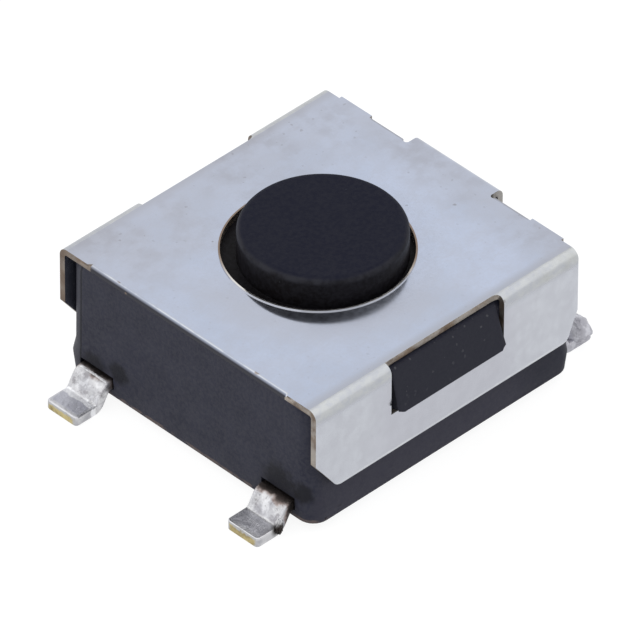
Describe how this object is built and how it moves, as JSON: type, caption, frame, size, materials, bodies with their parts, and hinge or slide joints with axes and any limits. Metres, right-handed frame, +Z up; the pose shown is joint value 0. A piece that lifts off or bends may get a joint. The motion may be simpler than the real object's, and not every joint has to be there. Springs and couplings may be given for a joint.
{
  "type": "tactile push button switch",
  "caption": "Low-profile square surface-mount tactile push button with a round black plunger, a folded plated metal cover and gull-wing solder feet.",
  "frame": {"origin": "centre of the bounding box, at the undersides of the solder feet", "axes": "+Z up out of the key, X along the terminals with the cover's bent tab at +X, Y across the folded sides"},
  "size_m": [0.008, 0.0064, 0.0033],
  "materials": {
    "black_moulding": "satin glass-filled moulding",
    "plated_strip": "tin plated, bare brass at the cut ends",
    "spring_steel": "bright rolled spring steel",
    "matte_black_moulding": "fine matte moulding",
    "plated_cover": "bright plated sheet, bare tan metal at the cut edges"
  },
  "bodies": {
    "housing": {"base": "black_moulding", "centre_contact_strip": "plated_strip", "rim_contact_strip": "plated_strip", "contact_dome": "spring_steel", "cover": "plated_cover"},
    "key": {"plunger": "matte_black_moulding"}
  },
  "joints": [
    {"name": "key_press", "type": "slide", "parent": "housing", "child": "key", "axis": [0, 0, -1], "range_m": [0, 0.00025], "stiffness_N_per_m": 6400, "deforming": ["contact_dome"]}
  ]
}
